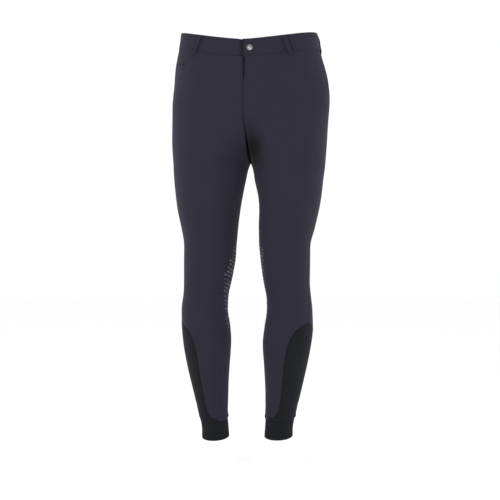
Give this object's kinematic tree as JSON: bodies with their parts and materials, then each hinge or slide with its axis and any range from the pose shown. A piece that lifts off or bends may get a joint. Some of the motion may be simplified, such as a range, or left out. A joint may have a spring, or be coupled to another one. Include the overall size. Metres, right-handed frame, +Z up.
{
  "type": "riding breeches",
  "caption": "Close-fitting stretch riding breeches, filled out as worn, with leaf-shaped calf inserts, ankle cuffs, belt loops and a snap at the waist.",
  "frame": {"origin": "centre of the waist opening, where the wearer holds the garment up", "axes": "+Z up along the body, -Y to the wearer's front, +X to the wearer's left"},
  "size_m": [0.3688, 0.242, 0.9551],
  "materials": {
    "navy_cloth": "matt dark navy stretch cloth with a soft sheen at grazing angles",
    "black_cloth": "matt black stretch jersey, finely ribbed at the cuffs",
    "snap_metal": "satin silver metal"
  },
  "bodies": {
    "root": {"front_left": "navy_cloth", "front_right": "navy_cloth", "back_left": "navy_cloth", "back_right": "navy_cloth", "waistband_left": "navy_cloth", "waistband_right": "navy_cloth", "belt_loop_1": "navy_cloth", "belt_loop_2": "navy_cloth", "belt_loop_3": "navy_cloth", "belt_loop_4": "navy_cloth", "belt_loop_5": "navy_cloth", "pocket_facing_left": "navy_cloth", "pocket_facing_right": "navy_cloth", "coin_pocket": "navy_cloth", "fly_underlap": "navy_cloth", "calf_insert_left": "black_cloth", "calf_insert_right": "black_cloth", "cuff_left": "black_cloth", "cuff_right": "black_cloth", "snap_cap": "snap_metal"}
  },
  "joints": []
}
